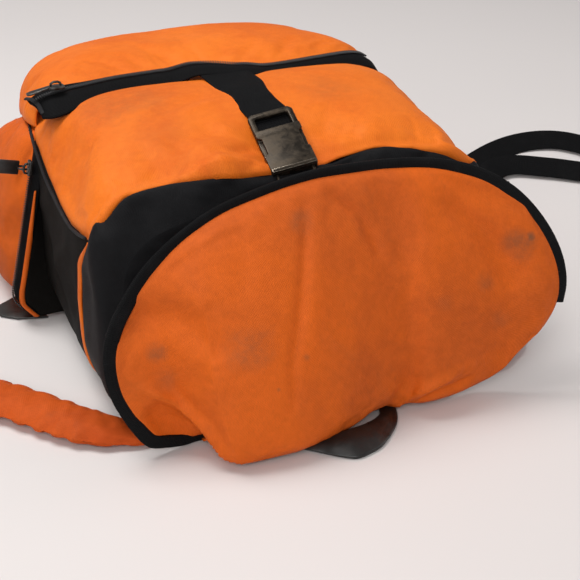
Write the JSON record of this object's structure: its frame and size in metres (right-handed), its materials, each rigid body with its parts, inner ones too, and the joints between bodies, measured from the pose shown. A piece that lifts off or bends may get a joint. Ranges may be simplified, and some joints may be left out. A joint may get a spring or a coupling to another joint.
{
  "type": "travel backpack",
  "caption": "Soft nylon backpack lying on its back: drawstring mouth under a bound lid with a metal release buckle, zipped front and side pockets, padded shoulder straps.",
  "frame": {"origin": "middle of the back panel's outer face, which lies on the floor", "axes": "+X across the bag, +Y from the lid to the base, +Z out of the bag's front"},
  "size_m": [0.8217, 0.4734, 0.2],
  "materials": {
    "orange_nylon": "fine plain-weave nylon with a soft sheen, worn and lightly soiled",
    "orange_pad": "the same nylon over thin foam",
    "black_nylon": "fine plain-weave nylon",
    "black_coated": "smooth coated cloth, slightly glossy, rubbed at the edges",
    "black_webbing": "woven webbing and zip tape",
    "black_leather": "smooth leather with a dull gloss and painted edges",
    "black_plastic": "moulded nylon",
    "antique_metal": "antiqued dark metal, rubbed brighter on its edges",
    "grey_foam": "closed-cell foam sheet"
  },
  "bodies": {
    "root": {"collar": "black_nylon", "front_panel": "orange_nylon", "side_stripe_left": "orange_nylon", "side_stripe_right": "orange_nylon", "side_gusset_left": "black_coated", "side_gusset_right": "black_coated", "back_panel": "black_nylon", "base_panel": "black_coated", "back_foam": "grey_foam", "eyelet_left": "antique_metal", "eyelet_right": "antique_metal", "front_pocket": "orange_nylon", "front_zip_tape": "black_webbing", "front_zip_coil": "black_plastic", "side_pocket_left": "orange_nylon", "side_pocket_right": "orange_nylon", "side_zip_tape_left": "black_webbing", "side_zip_tape_right": "black_webbing", "piping_left": "black_coated", "piping_right": "black_coated", "anchor_tab_left": "black_leather", "anchor_tab_right": "black_leather", "shoulder_pad_left": "orange_pad", "shoulder_pad_right": "orange_pad", "lower_strap_left": "black_webbing", "lower_strap_right": "black_webbing", "strap_adjuster_left": "black_plastic", "strap_adjuster_right": "black_plastic", "front_strap": "black_webbing", "buckle_frame": "antique_metal", "lid_fold": "orange_nylon", "handle_base": "black_leather"},
    "lid": {"lid_panel": "orange_nylon", "lid_binding": "black_coated", "lid_tab": "black_webbing"},
    "buckle_cover": {"buckle_cover": "antique_metal", "buckle_loop": "antique_metal"},
    "prong_left": {"buckle_prong_left": "antique_metal"},
    "prong_right": {"buckle_prong_right": "antique_metal"},
    "handle": {"grab_handle": "black_leather"},
    "front_slider": {"front_slider": "antique_metal"},
    "front_pull": {"front_pull": "antique_metal"},
    "side_slider_left": {"side_slider_left": "antique_metal"},
    "side_pull_left": {"side_ring_left": "antique_metal", "side_pull_left": "black_leather"},
    "side_slider_right": {"side_slider_right": "antique_metal"},
    "side_pull_right": {"side_ring_right": "antique_metal", "side_pull_right": "black_leather"}
  },
  "joints": [
    {"name": "lid_hinge", "type": "hinge", "parent": "root", "child": "lid", "pos_m": [0, -0.226, 0.014], "axis": [1, 0, 0], "range_deg": [0, 92]},
    {"name": "cover_flip", "type": "hinge", "parent": "lid", "child": "buckle_cover", "pos_m": [0, -0.147, 0.16], "axis": [1, 0, 0], "range_deg": [0, 28]},
    {"name": "prong_left_squeeze", "type": "hinge", "parent": "root", "child": "prong_left", "pos_m": [-0.01246, -0.11415, 0.18007], "axis": [-0.186, -0.4238, 0.8865], "range_deg": [0, 6], "stiffness_Nm_per_rad": 0.02},
    {"name": "prong_right_squeeze", "type": "hinge", "parent": "root", "child": "prong_right", "pos_m": [0.00915, -0.11604, 0.1837], "axis": [-0.186, -0.4238, 0.8865], "range_deg": [-6, 0], "stiffness_Nm_per_rad": 0.02},
    {"name": "handle_lift", "type": "hinge", "parent": "root", "child": "handle", "pos_m": [-0.038, -0.223, 0.003], "axis": [0.981, 0.1939, 0], "range_deg": [-25, 0]},
    {"name": "front_zip_slide", "type": "slide", "parent": "root", "child": "front_slider", "axis": [1, 0, 0], "range_m": [0, 0.25]},
    {"name": "front_pull_flip", "type": "hinge", "parent": "front_slider", "child": "front_pull", "pos_m": [-0.1362, 0.024, 0.1977], "axis": [0, 1, 0], "range_deg": [0, 100]},
    {"name": "side_zip_left", "type": "slide", "parent": "root", "child": "side_slider_left", "axis": [-0.222, 0, -0.975], "range_m": [0, 0.088]},
    {"name": "side_pull_left_swing", "type": "hinge", "parent": "side_slider_left", "child": "side_pull_left", "pos_m": [-0.15826, 0.026, 0.13242], "axis": [0, -1, 0], "range_deg": [-35, 25]},
    {"name": "side_zip_right", "type": "slide", "parent": "root", "child": "side_slider_right", "axis": [0.222, 0, -0.975], "range_m": [0, 0.088]},
    {"name": "side_pull_right_swing", "type": "hinge", "parent": "side_slider_right", "child": "side_pull_right", "pos_m": [0.15826, 0.026, 0.13242], "axis": [0, 1, 0], "range_deg": [-80, 0]}
  ],
  "couplings": [
    {"joint": "prong_right_squeeze", "follows": "prong_left_squeeze", "ratio": -1}
  ]
}
